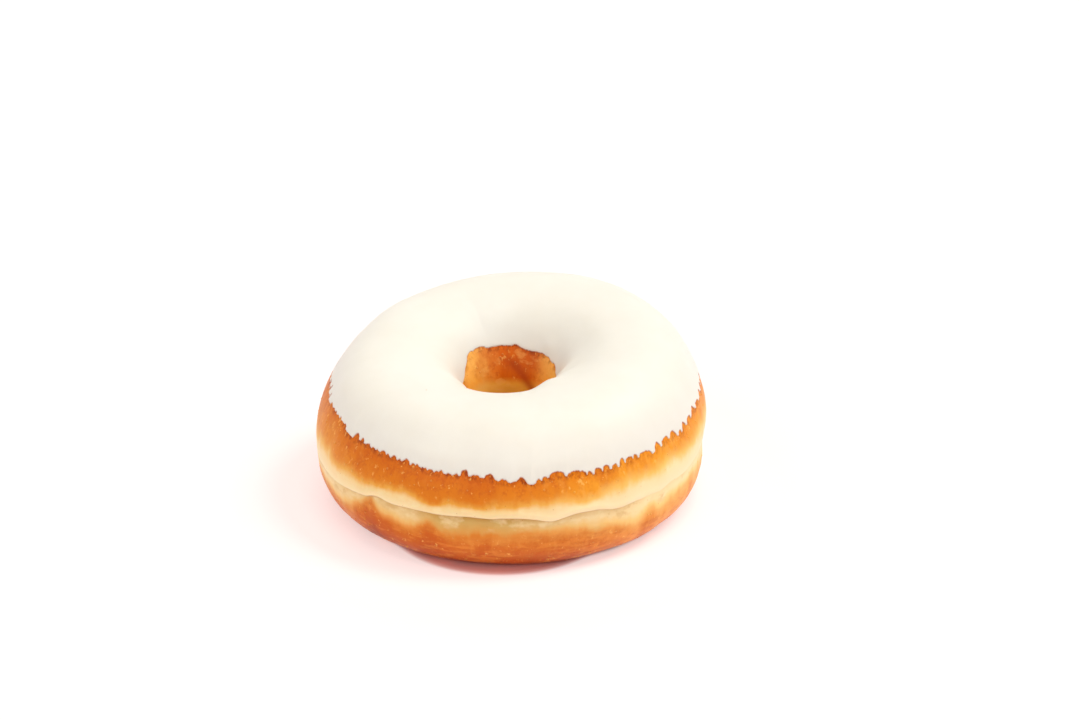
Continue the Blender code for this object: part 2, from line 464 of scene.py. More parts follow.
# Soft limits of the other numbers, in mm of height or as values of the belt.
ICED_OVER, BY_ICING = (0.0, 1.5), (-1.1, -0.1)
CALM_SHARE, OFF_TABLE, BLISTERS_FROM = 0.25, (0.0, 2.0), (0.6, 1.6)
CRUST_FROM = (0.9, 1.5)
scar_turn = SCAR_TURN + (height_mm - SCAR_HEIGHT) * SCAR_SLANT
scar = hump(np.degrees(turns)[:, None], scar_turn, SCAR_HALF)
scar = scar * inside_hole * smooth_step(SCAR_TOP, SCAR_FULL, height_mm)
# The crease line is painted shade: a thin dark line just under the lip of the fold.
crease_shade = hump(below_crease, CREASE_LINE_AT, CREASE_LINE_HALF)
crease_shade = crease_shade * np.clip(fold - CREASE_LINE_FROM, 0.0, 1.0)
bare_dough = 1.0 - smooth_step(*ICED_OVER, under)
off_table = CALM_SHARE + (1.0 - CALM_SHARE) * smooth_step(*OFF_TABLE, height_mm)
crusted = smooth_step(*CRUST_FROM, np.abs(belt))
dough_mesh = closed_grid_mesh("dough_ring_fine", dough_points, {
    "belt": belt, "hole": inside_hole, "golden": golden, "bare": bare_dough * off_table,
    "wrinkled": CALM_SHARE + (1.0 - CALM_SHARE) * crusted,
    "blistered": crusted * bare_dough * smooth_step(*BLISTERS_FROM, height_mm),
    "by_icing": smooth_step(*BY_ICING, under), "scar": scar, "crease_shade": crease_shade})
print("dough triangles:", 2 * DOUGH_COLUMNS * DOUGH_ROWS)

# %% [markdown]
# ## Relief by Geometry Nodes
#
# Fried skin isn't smooth: it has slow lumps from the gas in the dough and fine
# wrinkles where it shrank. Both follow the surface, so they suit Geometry Nodes. The
# tree moves each point along its normal by noise read at its place. Its sizes are
# named inputs, so the dough and the icing share one tree with different values.

# %% Helpers for node trees
def link(tree, source, target):
    """Wire a socket, or set a plain value."""
    if isinstance(source, bpy.types.NodeSocket):
        tree.links.new(source, target)
    else:
        target.default_value = source


def calc(tree, operation, first, second=None, third=None):
    """One math node: feed it sockets or numbers, get its output socket."""
    step = tree.nodes.new("ShaderNodeMath")
    step.operation = operation
    for value, socket in zip((first, second, third), step.inputs):
        if value is not None:
            link(tree, value, socket)
    return step.outputs[0]


def vector_calc(tree, operation, first, second):
    """One vector math node: feed it sockets, tuples or a number, get its output vector."""
    step = tree.nodes.new("ShaderNodeVectorMath")
    step.operation = operation
    link(tree, first, step.inputs[0])
    link(tree, second, step.inputs["Scale" if operation == "SCALE" else 1])
    return step.outputs[0]


def centred(tree, value, gain):
    """A 0-to-1 pattern turned into ups and downs of about half the gain."""
    return calc(tree, "MULTIPLY", calc(tree, "SUBTRACT", value, 0.5), gain)


def noise(tree, vector, size, detail=2.0, roughness=0.5):
    """Noise whose blotches are about `size` metres across."""
    step = tree.nodes.new("ShaderNodeTexNoise")
    link(tree, vector, step.inputs["Vector"])
    link(tree, calc(tree, "DIVIDE", 1.0, size), step.inputs["Scale"])
    step.inputs["Detail"].default_value = detail
    step.inputs["Roughness"].default_value = roughness
    return step.outputs[0]


# %% Helpers for Geometry Nodes trees
def add_inputs(tree, floats):
    """Give a Geometry Nodes tree its geometry sockets and named number inputs."""
    face = tree.interface
    face.new_socket("Geometry", in_out="INPUT", socket_type="NodeSocketGeometry")
    face.new_socket("Geometry", in_out="OUTPUT", socket_type="NodeSocketGeometry")
    for label, value in floats.items():
        socket = face.new_socket(label, in_out="INPUT", socket_type="NodeSocketFloat")
        socket.default_value = value
    face.new_socket("Material", in_out="INPUT", socket_type="NodeSocketMaterial")


def finish_tree(tree, geometry, material):
    """End a tree the same way each time: real geometry, then its material."""
    real = tree.nodes.new("GeometryNodeRealizeInstances")
    paint = tree.nodes.new("GeometryNodeSetMaterial")
    tree.links.new(geometry, real.inputs[0])
    tree.links.new(real.outputs[0], paint.inputs["Geometry"])
    tree.links.new(material, paint.inputs["Material"])
    tree.links.new(paint.outputs[0], tree.nodes.new("NodeGroupOutput").inputs[0])


def run_tree(name, mesh, tree, values):
    """Run a tree on a mesh and return the plain result as a new object."""
    carrier = bpy.data.objects.new(name + "_carrier", mesh)
    scene.collection.objects.link(carrier)
    modifier = carrier.modifiers.new("nodes", "NODES")
    modifier.node_group = tree
    for item in tree.interface.items_tree:
        if item.item_type == "SOCKET" and item.in_out == "INPUT" and item.name in values:
            modifier[item.identifier] = values[item.name]
    evaluated = carrier.evaluated_get(bpy.context.evaluated_depsgraph_get())
    plain = bpy.data.meshes.new_from_object(evaluated)
    bpy.data.objects.remove(carrier)
    plain.name = name
    piece = bpy.data.objects.new(name, plain)
    scene.collection.objects.link(piece)
    print(name, "has", len(plain.polygons), "faces")
    return piece


# %% The relief tree
def point_value(tree, name):
    """Read one of the mesh's own numbers in a Geometry Nodes tree."""
    reader = tree.nodes.new("GeometryNodeInputNamedAttribute")
    reader.data_type = "FLOAT"
    reader.inputs["Name"].default_value = name
    return reader.outputs[0]


def make_relief_tree():
    """Move every bare point along its normal, by lumps and by wrinkles."""
    tree = bpy.data.node_groups.new("skin_relief", "GeometryNodeTree")
    add_inputs(tree, {"Lump Size": 9 * MM, "Lump Height": 0.3 * MM,
                      "Wrinkle Size": 1.4 * MM, "Wrinkle Height": 0.1 * MM,
                      "Wrinkle Stretch": 0.4, "Seed": 1.0})
    given = tree.nodes.new("NodeGroupInput").outputs
    where = tree.nodes.new("GeometryNodeInputPosition").outputs[0]
    shifted = vector_calc(tree, "ADD", where, given["Seed"])
    squeeze = tree.nodes.new("ShaderNodeCombineXYZ")
    squeeze.inputs[0].default_value = 1.0
    squeeze.inputs[1].default_value = 1.0
    tree.links.new(given["Wrinkle Stretch"], squeeze.inputs[2])
    stretched = vector_calc(tree, "MULTIPLY", shifted, squeeze.outputs[0])
    lumps = noise(tree, shifted, given["Lump Size"], 1.0)
    wrinkles = noise(tree, stretched, given["Wrinkle Size"], 3.0, 0.6)
    wrinkles = calc(tree, "MULTIPLY", centred(tree, wrinkles, given["Wrinkle Height"]),
                    point_value(tree, "wrinkled"))
    total = calc(tree, "ADD", centred(tree, lumps, given["Lump Height"]), wrinkles)
    total = calc(tree, "MULTIPLY", total, point_value(tree, "bare"))
    normal = tree.nodes.new("GeometryNodeInputNormal").outputs[0]
    move = tree.nodes.new("GeometryNodeSetPosition")
    tree.links.new(given["Geometry"], move.inputs["Geometry"])
    tree.links.new(vector_calc(tree, "SCALE", normal, total), move.inputs["Offset"])
    finish_tree(tree, move.outputs[0], given["Material"])
    return tree


relief_tree = make_relief_tree()
print("relief tree nodes:", len(relief_tree.nodes))

# %% [markdown]
# ## Shared colour effects
#
# Two effects are used on both the crust and the icing, so each is a shader node group
# with named sockets. `mottle` gives soft blotches in two sizes, and `flecks` gives
# rare small dots. They only put out masks: each material decides what to do with them.

# %% An empty group
def new_group(name, numbers):
    """An empty mask group with a Vector input, named number inputs and one output."""
    group = bpy.data.node_groups.new(name, "ShaderNodeTree")
    face = group.interface
    face.new_socket("Vector", in_out="INPUT", socket_type="NodeSocketVector")
    for label, value in numbers.items():
        socket = face.new_socket(label, in_out="INPUT", socket_type="NodeSocketFloat")
        socket.default_value = value
    face.new_socket("Mask", in_out="OUTPUT", socket_type="NodeSocketFloat")
    return group


def give_out(group, mask):
    """Wire the finished mask to the group's output."""
    group.links.new(mask, group.nodes.new("NodeGroupOutput").inputs[0])


# %% The mottle group
def make_mottle_group():
    """Soft blotches, 0 to 1, large ones broken up by small ones."""
    group = new_group("mottle", {"Large": 6 * MM, "Small": 1 * MM, "Share Of Small": 0.4})
    given = group.nodes.new("NodeGroupInput").outputs
    large = noise(group, given["Vector"], given["Large"], 2.0)
    small = noise(group, given["Vector"], given["Small"], 3.0, 0.6)
    mixed = group.nodes.new("ShaderNodeMix")
    group.links.new(given["Share Of Small"], mixed.inputs[0])
    group.links.new(large, mixed.inputs[2])
    group.links.new(small, mixed.inputs[3])
    give_out(group, mixed.outputs[0])
    return group


mottle_group = make_mottle_group()
print("group:", mottle_group.name, "with", len(mottle_group.nodes), "nodes")


# %% The flecks group
def make_flecks_group():
    """Rare round dots: 1 in a dot, 0 elsewhere."""
    group = new_group("flecks", {"Spacing": 2 * MM, "Dot Share": 0.2, "Rarity": 0.6})
    given = group.nodes.new("NodeGroupInput").outputs
    cells = group.nodes.new("ShaderNodeTexVoronoi")
    group.links.new(given["Vector"], cells.inputs["Vector"])
    group.links.new(calc(group, "DIVIDE", 1.0, given["Spacing"]), cells.inputs["Scale"])
    near = calc(group, "LESS_THAN", cells.outputs["Distance"], given["Dot Share"])
    split = group.nodes.new("ShaderNodeSeparateXYZ")
    group.links.new(cells.outputs["Color"], split.inputs[0])
    rare = calc(group, "GREATER_THAN", split.outputs[0], given["Rarity"])
    give_out(group, calc(group, "MULTIPLY", near, rare))
    return group


flecks_group = make_flecks_group()
print("group:", flecks_group.name, "with", len(flecks_group.nodes), "nodes")


# %% Place a shared group in a material
def use_group(tree, group, vector, **values):
    """Place a shared group in a material and set its named inputs."""
    step = tree.nodes.new("ShaderNodeGroup")
    step.node_tree = group
    tree.links.new(vector, step.inputs["Vector"])
    for label, value in values.items():
        step.inputs[label.replace("_", " ")].default_value = value
    return step.outputs[0]


# %% Colours
def linear(red, green, blue):
    """A colour picked on a screen (0 to 255), as the shader wants it."""
    def channel(value):
        """One channel, from screen to light."""
        value = value / 255.0
        return value / 12.92 if value <= 0.04045 else ((value + 0.055) / 1.055) ** 2.4
    return (channel(red), channel(green), channel(blue), 1.0)


def ramp(tree, value, stops):
    """A colour ramp over (position, colour) stops."""
    step = tree.nodes.new("ShaderNodeValToRGB")
    elements = step.color_ramp.elements
    while len(elements) < len(stops):
        elements.new(0.5)
    for element, (position, color) in zip(elements, stops):
        element.position = position
        element.color = color
    link(tree, value, step.inputs[0])
    return step.outputs[0]


def mix(tree, factor, first, second):
    """Mix two colours."""
    step = tree.nodes.new("ShaderNodeMix")
    step.data_type = "RGBA"
    link(tree, factor, step.inputs[0])
    link(tree, first, step.inputs[6])
    link(tree, second, step.inputs[7])
    return step.outputs[2]


# %% Places and patterns
def attribute(tree, name):
    """Read one of the mesh's own numbers in a material."""
    step = tree.nodes.new("ShaderNodeAttribute")
    step.attribute_name = name
    return step.outputs["Fac"]


def object_place(tree, stretch=None):
    """Where we are on the object; a factor below 1 draws a pattern out that way."""
    where = tree.nodes.new("ShaderNodeTexCoord").outputs["Object"]
    if stretch is None:
        return where
    step = tree.nodes.new("ShaderNodeMapping")
    step.inputs["Scale"].default_value = stretch
    tree.links.new(where, step.inputs["Vector"])
    return step.outputs[0]


def mottled(tree, large, small, share, stretch=None):
    """Blotches of two sizes in mm, drawn out as `stretch` says."""
    return use_group(tree, mottle_group, object_place(tree, stretch),
                     Large=large * MM, Small=small * MM, Share_Of_Small=share)


# %% What every skin needs
def new_material(name):
    """A material with its node tree and its shader."""
    material = bpy.data.materials.new(name)
    material.use_nodes = True
    return material, material.node_tree, material.node_tree.nodes["Principled BSDF"]


def skin_finish(tree, shader, gloss, relief, bump, constants):
    """Roughness (pattern, gain, least), a fine bump (strength, depth) and plain values."""
    pattern, gain, least = gloss
    roughness = calc(tree, "ADD", calc(tree, "MULTIPLY", pattern, gain), least)
    tree.links.new(roughness, shader.inputs["Roughness"])
    dents = tree.nodes.new("ShaderNodeBump")
    dents.inputs["Strength"].default_value = bump[0]
    dents.inputs["Distance"].default_value = bump[1]
    tree.links.new(relief, dents.inputs["Height"])
    tree.links.new(dents.outputs[0], shader.inputs["Normal"])
    for label, value in constants.items():
        shader.inputs[label].default_value = value


# %% [markdown]
# ## The crust
#
# One colour ramp along the `belt` value paints the whole side: deep orange crust, a yellow fringe,
# the pale proof line, the duller tan below the crease and the browner base. The base turns darker
# near its bottom edge as painted shade, and the underside beyond that is fried brown again. Noise
# pushes the value up and down before the ramp reads it, which makes the edges of the bands wander.
# The hole has a ramp of its own, because its walls stayed closer to the fat.

# %% Colours along the belt
BELT_SPAN = 4.0


def belt_stop(value, color):
    """A ramp stop at a belt value from -BELT_SPAN to BELT_SPAN."""
    return ((value / BELT_SPAN + 1.0) / 2.0, color)


# Both sides darken near the bottom edge of the base (belt 2.9 to 3.3) as painted shade; the
# underside beyond it is fried brown again.
BROWN_SIDE = (
    (-4.0, (200, 94, 12)), (-2.4, (212, 106, 12)), (-1.35, (222, 126, 24)),
    (-1.0, (234, 166, 66)), (-0.68, (242, 204, 138)), (-0.03, (246, 226, 176)),
    (0.05, (196, 152, 78)), (0.45, (214, 174, 100)), (0.85, (220, 162, 82)),
    (1.15, (220, 134, 46)), (1.7, (206, 104, 18)), (2.3, (188, 86, 14)),
    (2.9, (156, 60, 16)), (3.3, (136, 50, 16)), (4.0, (198, 96, 18)))
GOLDEN_SIDE = (
    (-4.0, (226, 122, 16)), (-2.6, (236, 142, 22)), (-1.55, (244, 164, 46)),
    (-1.05, (250, 202, 108)), (-0.6, (254, 230, 180)), (-0.03, (254, 234, 192)),
    (0.05, (246, 220, 164)), (0.45, (252, 226, 172)), (0.85, (250, 210, 132)),
    (1.15, (246, 186, 104)), (1.7, (244, 168, 76)), (2.3, (236, 154, 64)),
    (2.9, (214, 120, 48)), (3.3, (180, 90, 40)), (4.0, (214, 118, 34)))
HOLE_WALL = (
    (-4.0, (214, 98, 10)), (-1.6, (224, 110, 12)), (-0.6, (242, 176, 62)),
    (0.6, (242, 182, 72)), (1.8, (222, 118, 20)))
GOLDEN_HOLE = (
    (-4.0, (255, 186, 88)), (-1.6, (255, 178, 70)), (-0.6, (252, 196, 98)),
    (0.6, (250, 192, 92)), (1.8, (236, 136, 36)))
print("colours on a brown side and in the hole:", len(BROWN_SIDE), len(HOLE_WALL))


def belt_ramp(tree, along, stops):
    """A ramp whose stops are given as belt values and screen colours."""
    return ramp(tree, along, [belt_stop(value, linear(*color)) for value, color in stops])


def above(tree, value, low, gain, most):
    """How far a value is above `low`, times `gain`, kept between 0 and `most`."""
    raised = calc(tree, "MULTIPLY", calc(tree, "SUBTRACT", value, low), gain)
    return calc(tree, "MAXIMUM", calc(tree, "MINIMUM", raised, most), 0.0)


# %% [markdown]
# Fried skin gets its look from many faint patterns, one over another. Each one is a
# mottle of its own size, drawn out along the ring for strokes or up and down for
# streaks. A `dab` lays a colour where a pattern rises above a level, inside a region
# of the dough, so the whole finish is a list of patterns and a list of dabs.

# %% Patterns in the skin
# (large and small blotches in mm, share of the small ones, how it is drawn out)
SKIN_PATTERNS = {
    "broad": (12.0, 5.0, 0.4, None), "soft": (5.0, 2.0, 0.4, (1.0, 1.0, 0.45)),
    "streaks": (1.5, 0.8, 0.4, (1.0, 1.0, 0.3)), "patches": (4.5, 1.6, 0.35, (1.0, 1.0, 1.5)),
    "fine": (1.6, 0.6, 0.5, None), "edging": (1.1, 0.5, 0.4, (1.0, 1.0, 0.6)),
    "strokes": (1.3, 0.7, 0.4, (0.26, 0.26, 1.0)), "glints": (1.3, 0.7, 0.5, (1.0, 1.0, 0.7))}
WANDER_BROAD, WANDER_SOFT, WANDER_AT_CREASE = 1.0, 1.2, 0.1
GOLD_WANDER = 0.6
print("patterns in the skin:", ", ".join(SKIN_PATTERNS))


def opposite(tree, value):
    """One minus a value: a pattern's gaps, or the rest of a region."""
    return calc(tree, "SUBTRACT", 1.0, value)


def dab(tree, color, pattern, level, gain, most, region, paint):
    """Lay a colour where a pattern rises above a level, inside a region."""
    share = calc(tree, "MULTIPLY", above(tree, pattern, level, gain, most), region)
    return mix(tree, share, color, linear(*paint))


def banded_skin(tree, skin, belt_here, in_hole, gold):
    """The bands of colour, with edges that wander and with a steady line at the crease."""
    wander = calc(tree, "ADD", centred(tree, skin["broad"], WANDER_BROAD),
                  centred(tree, skin["soft"], WANDER_SOFT))
    steady = calc(tree, "ADD", belt_here, calc(tree, "MULTIPLY", wander, WANDER_AT_CREASE))
    away = calc(tree, "SMOOTH_MIN", calc(tree, "ABSOLUTE", belt_here), 1.0, 0.4)
    belt_value = calc(tree, "ADD", steady, calc(tree, "MULTIPLY", wander, away))
    along = calc(tree, "DIVIDE", calc(tree, "ADD", belt_value, BELT_SPAN), 2 * BELT_SPAN)
    side = mix(tree, gold, belt_ramp(tree, along, BROWN_SIDE),
               belt_ramp(tree, along, GOLDEN_SIDE))
    hole_side = mix(tree, gold, belt_ramp(tree, along, HOLE_WALL),
                    belt_ramp(tree, along, GOLDEN_HOLE))
    return mix(tree, in_hole, side, hole_side)


# %% Regions of the skin
# (level, gain, most) at the edge of each region, along the belt or in the gold
CRUSTY, NOT_DOUGHY, BROWN = (0.9, 1.2, 1.0), (0.45, 2.0, 1.0), (-0.35, 0.8, 1.0)
BELOW, BASE = (0.02, 8.0, 1.0), (1.0, 1.5, 1.0)
# Gains of the golden region, and the least strength of the darkening by the icing's edge, which is
# painted shade with some real browning.
GOLD_GAIN, GOLD_LEAST, EDGE_SHADE_LEAST = 0.8, 0.2, 0.25


def skin_regions(tree, belt_here, in_hole, gold):
    """Masks of the places on the dough that a pattern may keep to."""
    from_crease = calc(tree, "ABSOLUTE", belt_here)
    outer = opposite(tree, in_hole)
    crusty = above(tree, from_crease, *CRUSTY)
    doughy = calc(tree, "SUBTRACT", outer, above(tree, from_crease, *NOT_DOUGHY))
    doughy = calc(tree, "MAXIMUM", doughy, 0.0)
    brown = above(tree, opposite(tree, gold), *BROWN)
    golden_share = calc(tree, "ADD", calc(tree, "MULTIPLY", gold, GOLD_GAIN), GOLD_LEAST)
    return {
        "crusty": crusty, "doughy": doughy, "hole": in_hole,
        "below": calc(tree, "MULTIPLY", doughy, above(tree, belt_here, *BELOW)),
        "base": calc(tree, "MULTIPLY", above(tree, belt_here, *BASE), outer),
        "brown crust": calc(tree, "MULTIPLY", crusty, brown),
        "golden crust": calc(tree, "MULTIPLY", golden_share, crusty),
        "by icing": calc(tree, "MULTIPLY", attribute(tree, "by_icing"),
                         calc(tree, "ADD", EDGE_SHADE_LEAST, brown))}


# %% Crust material
# (pattern, whether its gaps are meant, level, gain, most, region, colour)
DABS = (
    ("soft", False, 0.47, 3.0, 0.5, "crusty", (200, 90, 14)),
    # Pale streaks on the golden crust: partly the crust's own colour, partly painted highlights.
    ("streaks", False, 0.52, 2.6, 0.4, "golden crust", (252, 190, 92)),
    ("patches", False, 0.52, 4.0, 0.5, "doughy", (250, 228, 178)),
    ("patches", True, 0.52, 4.0, 0.4, "below", (206, 158, 84)),
    ("fine", False, 0.5, 3.2, 0.45, "brown crust", (190, 78, 20)),
    # Darker crust along the icing's edge: painted shade under the icing's lip, with some real
    # browning of the crust there.
    ("edging", False, 0.45, 5.0, 0.75, "by icing", (152, 56, 10)),
    ("strokes", False, 0.5, 4.0, 0.30, "base", (238, 150, 62)),
    ("strokes", True, 0.5, 4.0, 0.28, "base", (196, 88, 18)),
    ("glints", False, 0.595, 9.0, 0.55, "crusty", (255, 198, 104)),
    # Pale patches in the hole: painted highlights on its walls.
    ("patches", False, 0.54, 4.0, 0.35, "hole", (255, 196, 104)))
# (number on the mesh, strength, colour) of the single lines in the skin; the one along the crease
# is painted shade under its lip
LINES = (("crease_shade", 1.1, (146, 84, 24)), ("scar", 0.75, (176, 64, 12)))
PORE_STRENGTH, PORE_COLOR = 0.35, (170, 96, 34)
PALE_GOLD = (255, 214, 130)
CRUST_CONSTANTS = {"Specular IOR Level": 0.15, "Subsurface Weight": 0.12,
                   "Subsurface Radius": (1.0, 0.45, 0.2), "Subsurface Scale": 1.2 * MM}


def make_crust(name, paler):
    """Fried skin; `paler` is how far it fades towards pale gold, for small blisters."""
    material, tree, shader = new_material(name)
    skin = {label: mottled(tree, *sizes) for label, sizes in SKIN_PATTERNS.items()}
    belt_here, in_hole = attribute(tree, "belt"), attribute(tree, "hole")
    gold = calc(tree, "ADD", attribute(tree, "golden"), centred(tree, skin["broad"], GOLD_WANDER))
    color = banded_skin(tree, skin, belt_here, in_hole, gold)
    regions = skin_regions(tree, belt_here, in_hole, gold)
    for label, gaps, level, gain, most, region, paint in DABS:
        pattern = opposite(tree, skin[label]) if gaps else skin[label]
        color = dab(tree, color, pattern, level, gain, most, regions[region], paint)
    for label, strength, paint in LINES:
        share = calc(tree, "MULTIPLY", attribute(tree, label), strength)
        color = mix(tree, share, color, linear(*paint))
    pores = use_group(tree, flecks_group, object_place(tree), Spacing=1.3 * MM,
                      Dot_Share=0.10, Rarity=0.75)
    pores = calc(tree, "MULTIPLY", pores, PORE_STRENGTH)
    color = mix(tree, pores, color, linear(*PORE_COLOR))
    color = mix(tree, paler, color, linear(*PALE_GOLD))
    tree.links.new(color, shader.inputs["Base Color"])
    skin_finish(tree, shader, (skin["soft"], 0.25, 0.28), skin["fine"], (0.5, 0.07 * MM),
                CRUST_CONSTANTS)
    print(name, "has", len(tree.nodes), "nodes")
    return material


# %% Dress the dough ring
crust = make_crust("fried_crust", 0.0)
dough = run_tree("dough_ring_fine", dough_mesh, relief_tree, {
    "Lump Size": 11 * MM, "Lump Height": 0.6 * MM, "Wrinkle Size": 1.5 * MM,
    "Wrinkle Height": 0.17 * MM, "Wrinkle Stretch": 0.4, "Seed": 3.0, "Material": crust})
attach(dough, "root")
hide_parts("dough_ring")

# %% [markdown]
# ## Blisters
#
# Hot fat raises tiny blisters in the skin, and each one catches the light. They are
# far too many to place by hand, so a Geometry Nodes tree strews points over the crust,
# thickly where the mesh's own number `blistered` is high, and puts a flat bead of 48
# triangles on each. The beads take on the dough's numbers, so the dough's finish fits
# them too, made a little paler.

# %% Strew the blisters
BEAD_SEGMENTS, BEAD_RINGS = 8, 4
BEAD_FACES = BEAD_SEGMENTS * BEAD_RINGS


def make_blister_tree():
    """Strew flat beads over a skin, each turned to lie on it."""
    tree = bpy.data.node_groups.new("strewn_blisters", "GeometryNodeTree")
    add_inputs(tree, {"Blisters Per Square Metre": 1e5, "Smallest": 0.1 * MM,
                      "Largest": 0.3 * MM, "Flatness": 0.4, "Seed": 1.0})
    given = tree.nodes.new("NodeGroupInput").outputs
    strew = tree.nodes.new("GeometryNodeDistributePointsOnFaces")
    tree.links.new(given["Geometry"], strew.inputs["Mesh"])
    tree.links.new(calc(tree, "MULTIPLY", given["Blisters Per Square Metre"],
                        point_value(tree, "blistered")), strew.inputs["Density"])
    tree.links.new(given["Seed"], strew.inputs["Seed"])
    bead = tree.nodes.new("GeometryNodeMeshUVSphere")
    bead.inputs["Segments"].default_value = BEAD_SEGMENTS
    bead.inputs["Rings"].default_value = BEAD_RINGS
    bead.inputs["Radius"].default_value = 1.0
    round_bead = tree.nodes.new("GeometryNodeSetShadeSmooth")
    tree.links.new(bead.outputs["Mesh"], round_bead.inputs["Geometry"])
    width = tree.nodes.new("FunctionNodeRandomValue")
    tree.links.new(given["Smallest"], width.inputs[2])
    tree.links.new(given["Largest"], width.inputs[3])
    tree.links.new(given["Seed"], width.inputs["Seed"])
    size = tree.nodes.new("ShaderNodeCombineXYZ")
    tree.links.new(width.outputs[1], size.inputs[0])
    tree.links.new(width.outputs[1], size.inputs[1])
    tree.links.new(calc(tree, "MULTIPLY", width.outputs[1], given["Flatness"]), size.inputs[2])
    settle = tree.nodes.new("GeometryNodeInstanceOnPoints")
    tree.links.new(strew.outputs["Points"], settle.inputs["Points"])
    tree.links.new(round_bead.outputs[0], settle.inputs["Instance"])
    tree.links.new(strew.outputs["Rotation"], settle.inputs["Rotation"])
    tree.links.new(size.outputs[0], settle.inputs["Scale"])
    finish_tree(tree, settle.outputs[0], given["Material"])
    return tree


blister_skin = make_crust("blister_skin", 0.14)
blisters = run_tree("crust_blisters", dough.data.copy(), make_blister_tree(), {
    "Blisters Per Square Metre": 8e4, "Smallest": 0.08 * MM, "Largest": 0.30 * MM,
    "Flatness": 0.45, "Seed": 4, "Material": blister_skin})
print("blisters:", len(blisters.data.polygons) // BEAD_FACES)
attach(blisters, "root")

# %% [markdown]
# ## The icing
#
# White icing was poured over the top and ran until it set. It is a thin sheet that
# ends in a ragged edge: the crust is rough at that scale, so the icing stopped at
# different places a fraction of a millimetre apart. The sheet is a closed shell with
# very narrow columns, so the edge can have small pointed notches. Its thickness grows
# with the distance from the nearest piece of edge, which rounds every notch.

# %% Notches along the edge
ICING_COLUMNS = 2000
ICING_SEED = 7
ROUND, POINTED = 2.2, 1.3
ROUND_SHARE = 0.6
icing_turns = math.tau * np.arange(ICING_COLUMNS) / ICING_COLUMNS
icing_chance = np.random.default_rng(ICING_SEED)
# (degrees round the ring, width in mm, depth in mm, shape) of the notches across the front
FRONT_NOTCHES = (
    (-176.5, 1.0, 2.0, POINTED), (-172.5, 0.8, 1.4, POINTED), (-167.5, 1.6, 0.6, POINTED),
    (-162.0, 1.4, 0.4, POINTED), (-157.5, 1.2, 0.4, POINTED), (-153.0, 1.6, 0.5, POINTED),
    (-145.2, 2.4, 1.3, POINTED), (-142.1, 1.5, 0.8, POINTED), (-139.3, 1.4, 0.4, ROUND),
    (-136.6, 1.2, 0.4, POINTED), (-134.6, 0.9, 0.3, ROUND), (-132.3, 1.8, 0.5, POINTED),
    (-130.2, 1.0, 0.3, ROUND), (-128.0, 1.7, 0.6, POINTED), (-125.9, 1.0, 0.3, ROUND),
    (-123.2, 2.0, 0.6, POINTED), (-120.6, 1.0, 0.4, ROUND), (-119.3, 1.1, 0.6, POINTED),
    (-116.8, 1.4, 0.3, ROUND), (-114.6, 1.3, 0.4, ROUND), (-112.7, 0.9, 0.3, POINTED),
    (-111.2, 1.2, 0.5, POINTED), (-108.6, 1.2, 0.3, ROUND), (-106.4, 0.9, 0.4, POINTED),
    (-104.0, 1.7, 1.1, ROUND), (-100.6, 2.0, 0.3, ROUND), (-96.4, 2.6, 1.1, POINTED),
    (-92.4, 2.2, 0.4, ROUND), (-87.0, 2.4, 0.9, POINTED), (-82.2, 1.2, 0.4, ROUND),
    (-80.4, 1.2, 0.5, ROUND), (-76.7, 3.6, 1.1, ROUND), (-70.8, 4.6, 1.0, ROUND),
    (-66.8, 1.2, 0.6, ROUND), (-64.2, 1.9, 1.0, ROUND), (-61.6, 1.7, 1.0, ROUND),
    (-58.8, 1.4, 0.8, ROUND), (-56.2, 1.4, 1.1, ROUND), (-53.6, 2.0, 0.8, ROUND),
    (-51.2, 1.2, 0.7, ROUND), (-47.4, 3.8, 0.8, ROUND), (-42.3, 2.2, 1.7, POINTED),
    (-38.6, 2.6, 1.1, ROUND), (-34.3, 2.8, 1.4, POINTED), (-30.8, 1.4, 0.6, ROUND),
    (-27.9, 2.2, 1.3, POINTED), (-24.0, 2.6, 0.8, ROUND), (-19.4, 3.0, 1.2, POINTED),
    (-14.6, 3.0, 0.8, ROUND), (-9.0, 2.6, 1.0, POINTED),
)
print("notches across the front:", len(FRONT_NOTCHES))


# %% Shapes and chances of the notches
def turned_from(around, degrees):
    """Signed angle in degrees from a direction, between -180 and 180."""
    return (around - degrees + 180.0) % 360.0 - 180.0


def notch_depth(turn, notches, radius):
    """How far the edge of the icing steps back (mm) for a list of notches."""
    back_off = np.zeros(turn.shape)
    for degrees, width, depth, shape in notches:
        away = turned_from(np.degrees(turn), degrees)
        away = np.abs(np.radians(away)) * radius / MM / (width / 2.0)
        hollow = np.clip(1.0 - away**shape, 0.0, 1.0) ** (1.0 / shape)
        back_off = np.maximum(back_off, depth * hollow)
    return back_off


def chance_notches(radius, span, widths, depths, flat_share):
    """Notches of chance sizes side by side, over a span of degrees round the ring."""
    notches = []
    at = float(span[0])
    while at < span[1]:
        width = icing_chance.uniform(*widths)
        depth = icing_chance.uniform(*depths) * width
        shape = ROUND if icing_chance.uniform() < ROUND_SHARE else POINTED
        if icing_chance.uniform() > flat_share:
            notches.append((at + math.degrees(width * MM / radius) / 2.0, width, depth, shape))
        at += math.degrees(width * MM / radius)
    return notches


# %% [markdown]
# The front notches are given one by one, since each of them shows. The ones at the back
# and in the hole are left to chance, from a generator with a fixed seed, so that they
# come out the same every time.

# %% Back off both edges of the icing
# (span in degrees, widths in mm, depths as a share of the width, share left without)
REAR_SPANS = (((-6, 60), (1.0, 3.4), (0.2, 0.6), 0.15),
              ((60, 182), (0.6, 2.2), (0.3, 0.7), 0.25))
HOLE_SPAN = ((0, 360), (0.8, 2.6), (0.10, 0.26), 0.5)
OUTER_WOBBLE = ((120, 0.10), (450, 0.10), (1000, 0.06))
HOLE_WOBBLE = ((20, 0.16), (70, 0.06))

